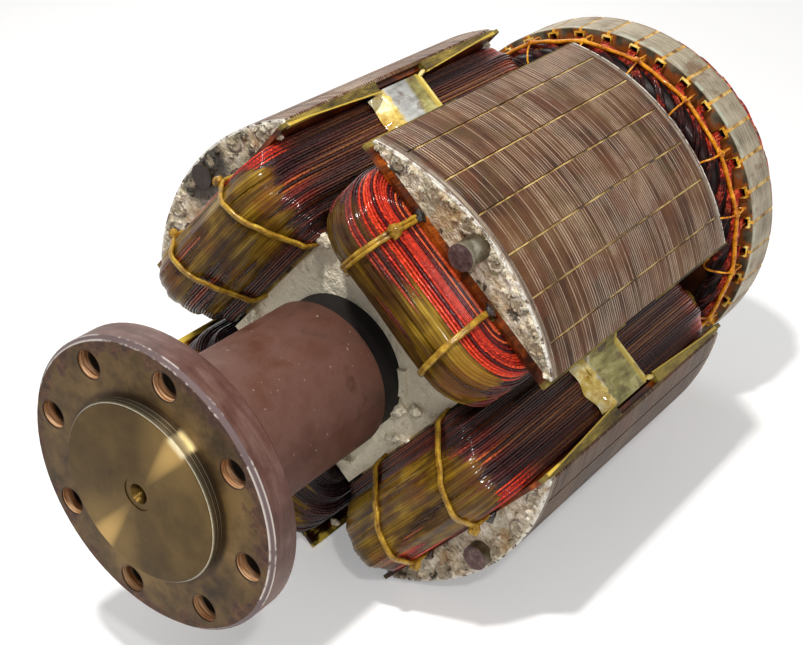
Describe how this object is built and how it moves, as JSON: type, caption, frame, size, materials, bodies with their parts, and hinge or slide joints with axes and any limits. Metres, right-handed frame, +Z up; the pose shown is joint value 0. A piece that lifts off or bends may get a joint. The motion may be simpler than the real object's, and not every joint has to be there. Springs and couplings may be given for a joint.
{
  "type": "generator rotor",
  "caption": "Four-pole salient-pole rotor of a brushless generator with coupling flange, wound field coils, coil supports, damper cage and exciter armature on one shaft.",
  "frame": {"origin": "centre of the coupling flange's mating face, on the shaft's axis", "axes": "+Y along the shaft from the coupling flange to the exciter, +Z up with the rotor lying on two poles, +X to the right seen from the flange"},
  "size_m": [0.3906, 0.752, 0.3906],
  "materials": {
    "painted_shaft": "satin",
    "lamination_steel": "satin",
    "key_steel": "satin",
    "brazed_plate": "satin",
    "damper_bar": "satin",
    "bolt_steel": "satin",
    "pressboard": "satin",
    "collar_board": "gloss",
    "enamelled_wire": "gloss",
    "resin_cord": "gloss",
    "insulating_sheet": "gloss",
    "support_metal": "satin",
    "hub_iron": "satin",
    "exciter_steel": "satin",
    "liner_sheet": "gloss",
    "slot_strip": "satin",
    "lacing_cord": "gloss"
  },
  "bodies": {
    "root": {"shaft": "painted_shaft", "core_laminations": "lamination_steel", "core_key": "key_steel", "drive_end_plate": "brazed_plate", "rear_end_plate": "brazed_plate", "damper_bars_1": "damper_bar", "damper_bars_2": "damper_bar", "damper_bars_3": "damper_bar", "damper_bars_4": "damper_bar", "pole_bolt_1": "bolt_steel", "pole_bolt_2": "bolt_steel", "pole_bolt_3": "bolt_steel", "pole_bolt_4": "bolt_steel", "pole_wrap_1": "pressboard", "pole_wrap_2": "pressboard", "pole_wrap_3": "pressboard", "pole_wrap_4": "pressboard", "coil_collar_1": "collar_board", "coil_collar_2": "collar_board", "coil_collar_3": "collar_board", "coil_collar_4": "collar_board", "field_coil_1": "enamelled_wire", "field_coil_2": "enamelled_wire", "field_coil_3": "enamelled_wire", "field_coil_4": "enamelled_wire", "coil_lashings_1": "resin_cord", "coil_lashings_2": "resin_cord", "coil_lashings_3": "resin_cord", "coil_lashings_4": "resin_cord", "support_sheet_1": "insulating_sheet", "support_sheet_2": "insulating_sheet", "support_sheet_3": "insulating_sheet", "support_sheet_4": "insulating_sheet", "coil_support_1": "support_metal", "coil_support_2": "support_metal", "coil_support_3": "support_metal", "coil_support_4": "support_metal", "support_bolts": "bolt_steel", "exciter_hub": "hub_iron", "exciter_rim": "hub_iron", "exciter_teeth": "exciter_steel", "exciter_liners": "liner_sheet", "exciter_wedges": "slot_strip", "exciter_winding": "enamelled_wire", "exciter_lacing": "lacing_cord"}
  },
  "joints": []
}
